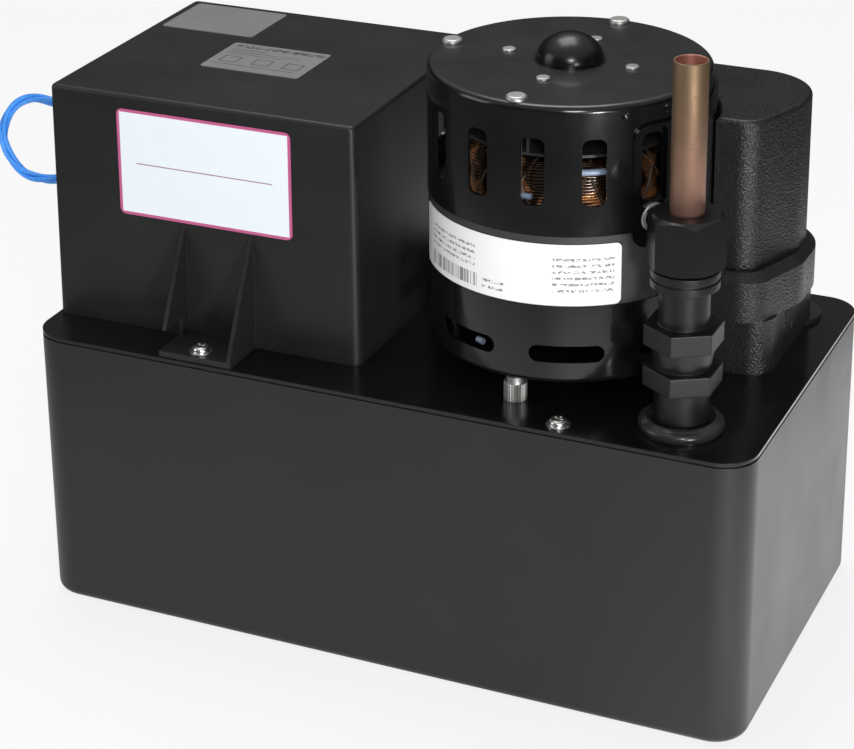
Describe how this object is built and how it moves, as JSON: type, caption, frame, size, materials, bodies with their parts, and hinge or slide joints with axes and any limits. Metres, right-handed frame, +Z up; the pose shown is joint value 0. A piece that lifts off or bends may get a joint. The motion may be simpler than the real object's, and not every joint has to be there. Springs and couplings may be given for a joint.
{
  "type": "condensate pump",
  "caption": "Covered tank pump with a vertical motor, a float switch under a moulded cover, and a copper discharge stub above a check valve.",
  "frame": {"origin": "middle of the tank's underside", "axes": "+Z up, -Y the long face with the covers' front and the discharge, +X towards the discharge end"},
  "size_m": [0.3953, 0.184, 0.305],
  "materials": {
    "tank_plastic": "matt",
    "gasket_foam": "matt",
    "lid_paint": "gloss",
    "zinc": "bright",
    "cover_plastic": "satin",
    "label": "printed film",
    "rubber": "matt",
    "wire_blue": "satin",
    "switch_plastic": "matt",
    "white_plastic": "satin",
    "red_plastic": "satin",
    "motor_paint": "gloss",
    "stator_steel": "satin",
    "winding": "enamelled",
    "bronze": "machined",
    "steel": "machined",
    "aluminium": "cast",
    "pump_plastic": "matt",
    "float_plastic": "matt",
    "fitting_plastic": "satin",
    "copper": "weathered",
    "brass": "machined",
    "capacitor_plastic": "textured"
  },
  "bodies": {
    "frame": {"tank": "tank_plastic", "lid_gasket": "gasket_foam", "lid": "lid_paint", "lid_screws": "zinc", "control_box_cover": "cover_plastic", "front_label": "label", "rating_labels": "label", "wire_grommets": "rubber", "alarm_wire_loop": "wire_blue", "cable_gland": "fitting_plastic", "gland_locknut": "fitting_plastic", "motor_upper_shell": "motor_paint", "motor_lower_shell": "motor_paint", "stator_core": "stator_steel", "stator_winding": "winding", "bearing_retainer": "steel", "motor_bearings": "bronze", "bearing_cap": "motor_paint", "retainer_rivets": "zinc", "motor_bolts": "zinc", "motor_spacers": "zinc", "bolt_nuts": "zinc", "motor_label": "label", "volute_housing": "pump_plastic", "suction_cover": "pump_plastic", "pump_column": "pump_plastic", "pump_screws": "zinc", "riser_pipe": "pump_plastic", "discharge_grommet": "rubber", "check_valve_body": "fitting_plastic", "check_valve_cap": "fitting_plastic", "check_spring": "steel", "copper_tube": "copper", "compression_olive": "brass", "compression_nut": "fitting_plastic", "inlet_grommet": "rubber", "float_guide": "white_plastic", "lever_pin": "steel", "switch_bracket": "steel", "pump_switch": "switch_plastic", "alarm_switch": "switch_plastic", "box_screws": "zinc", "terminal_block": "white_plastic", "terminal_clamps": "brass", "capacitor_base": "capacitor_plastic", "capacitor_cover": "capacitor_plastic", "run_capacitor": "aluminium", "saddle_bracket": "motor_paint", "saddle_screws": "zinc"},
    "rotor_assembly": {"rotor": "steel", "shaft": "steel", "cooling_fan": "aluminium", "slinger": "rubber", "impeller": "pump_plastic"},
    "float_assembly": {"float": "float_plastic", "float_rod": "white_plastic"},
    "lever": {"switch_lever": "steel"},
    "pump_plunger": {"pump_switch_plunger": "red_plastic"},
    "alarm_plunger": {"alarm_switch_plunger": "red_plastic"},
    "poppet": {"check_poppet": "white_plastic"}
  },
  "joints": [
    {"name": "rotor_spin", "type": "hinge", "parent": "frame", "child": "rotor_assembly", "pos_m": [0.063, -0.01, 0.2], "axis": [0, 0, 1], "continuous": true},
    {"name": "float_rise", "type": "slide", "parent": "frame", "child": "float_assembly", "axis": [0, 0, 1], "range_m": [0, 0.024]},
    {"name": "lever_tilt", "type": "hinge", "parent": "frame", "child": "lever", "pos_m": [-0.048, 0.0007, 0.184], "axis": [0, 1, 0], "range_deg": [0, 24.63]},
    {"name": "pump_plunger_travel", "type": "slide", "parent": "frame", "child": "pump_plunger", "axis": [0, 0, -1], "range_m": [0, 0.00154]},
    {"name": "alarm_plunger_travel", "type": "slide", "parent": "frame", "child": "alarm_plunger", "axis": [0, 0, -1], "range_m": [0, 0.00154]},
    {"name": "poppet_lift", "type": "slide", "parent": "frame", "child": "poppet", "axis": [0, 0, 1], "range_m": [0, 0.004], "stiffness_N_per_m": 60, "springref_m": -0.002, "deforming": ["check_spring"]}
  ],
  "couplings": [
    {"joint": "lever_tilt", "follows": "float_rise", "rad_per_m": 17.9},
    {"joint": "pump_plunger_travel", "follows": "float_rise", "ratio": 0.0636},
    {"joint": "alarm_plunger_travel", "follows": "float_rise", "ratio": 0.0636}
  ]
}
